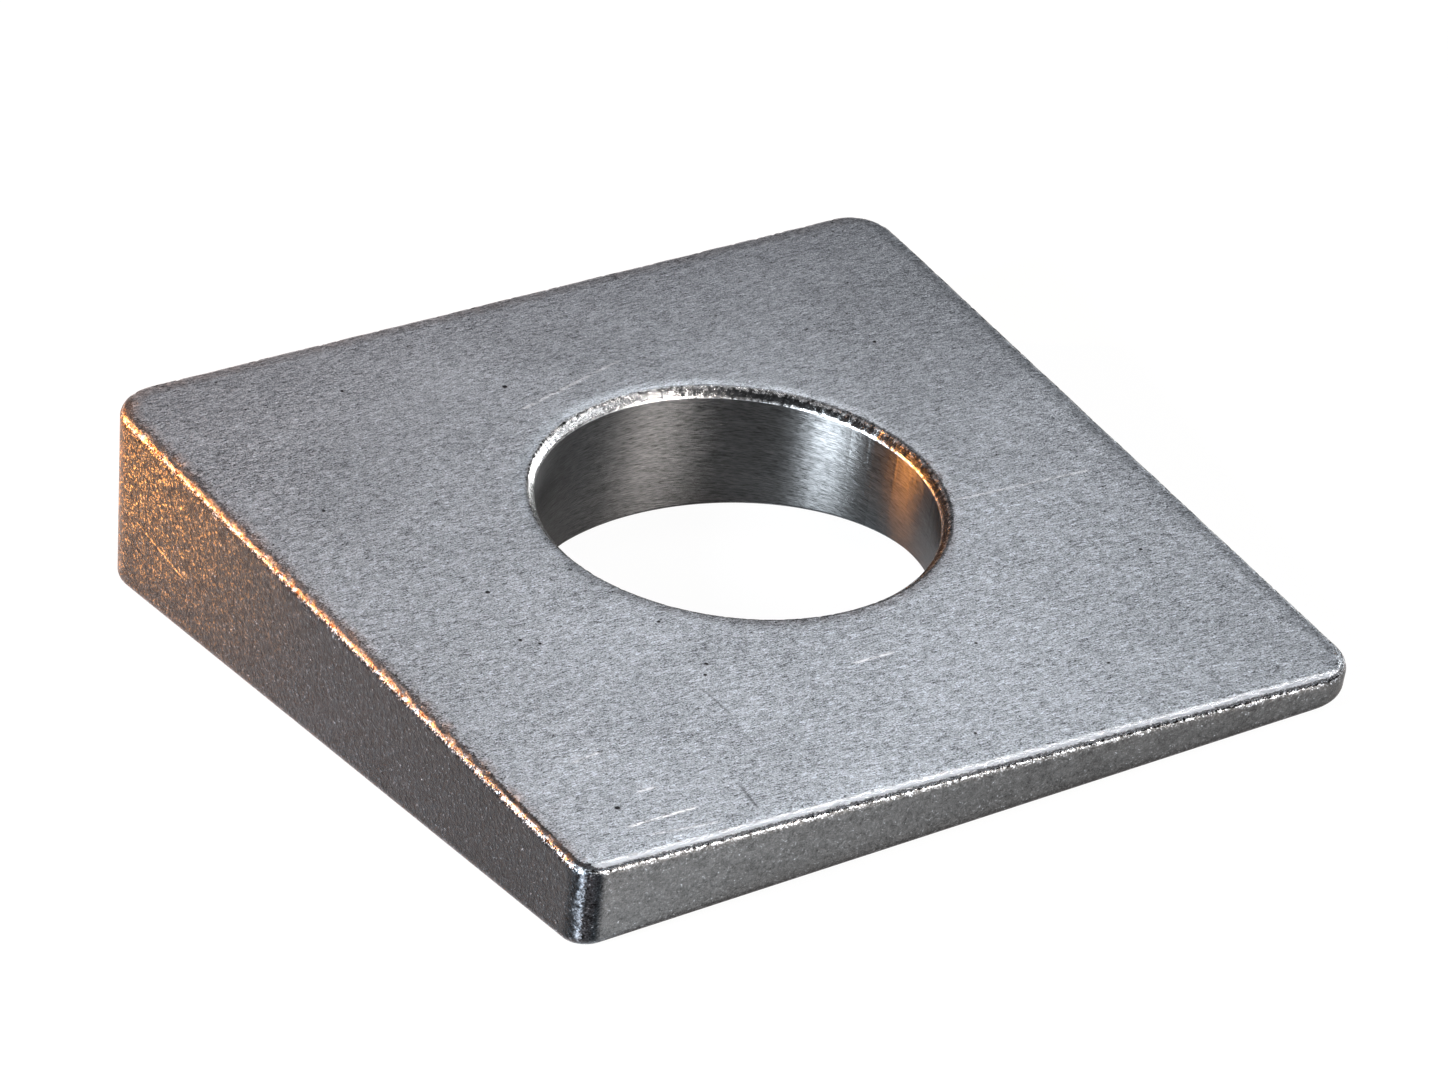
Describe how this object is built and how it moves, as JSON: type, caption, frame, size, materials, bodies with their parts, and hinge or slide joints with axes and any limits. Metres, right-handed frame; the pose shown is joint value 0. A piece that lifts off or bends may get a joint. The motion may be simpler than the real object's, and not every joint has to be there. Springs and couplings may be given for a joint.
{
  "type": "taper washer",
  "caption": "Square wedge-shaped steel washer with a round bore, which gives a bolt's nut a square seat on a sloping flange.",
  "frame": {"origin": "where the bore's axis leaves the underside", "axes": "+Z square to the underside, up towards the seat; +X along the front side, towards the thin corner; +Y towards the thick back side"},
  "size_m": [0.056, 0.0575, 0.0123],
  "materials": {
    "steel": "bare tumbled steel, fine matte grain, bright worn edges, turned bore"
  },
  "bodies": {
    "root": {"taper_washer": "steel"}
  },
  "joints": []
}
